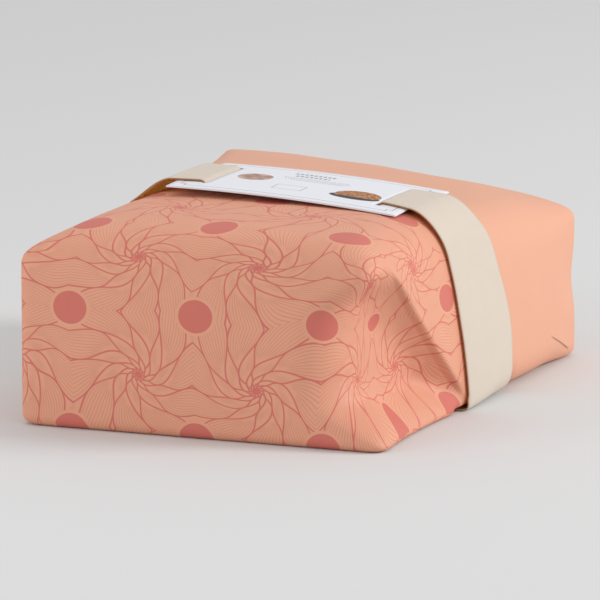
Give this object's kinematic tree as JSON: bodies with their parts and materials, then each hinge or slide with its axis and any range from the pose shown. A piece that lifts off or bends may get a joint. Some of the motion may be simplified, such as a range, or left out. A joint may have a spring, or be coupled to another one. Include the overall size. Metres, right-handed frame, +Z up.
{
  "type": "wrapped colomba cake pack",
  "caption": "Soft paper-wrapped rectangular cake parcel with a dented front corner, a wide cotton band round its middle and a slotted card label on top.",
  "frame": {"origin": "on the floor under the middle of the parcel", "axes": "+Z up, +Y from the printed end to the plain end along the longest side, +X to the right seen from the printed end"},
  "size_m": [0.251, 0.334, 0.1317],
  "materials": {
    "wrapping_paper": "smooth satin-matt wrapping paper in warm peach, with a coral petal-line pattern on the front half and plain behind the band",
    "cotton_band": "matt cream cotton webbing with a fine plain weave",
    "label_card": "smooth white card with a thin inset border and simple printed shapes"
  },
  "bodies": {
    "root": {"parcel": "wrapping_paper", "band": "cotton_band", "label": "label_card"}
  },
  "joints": []
}
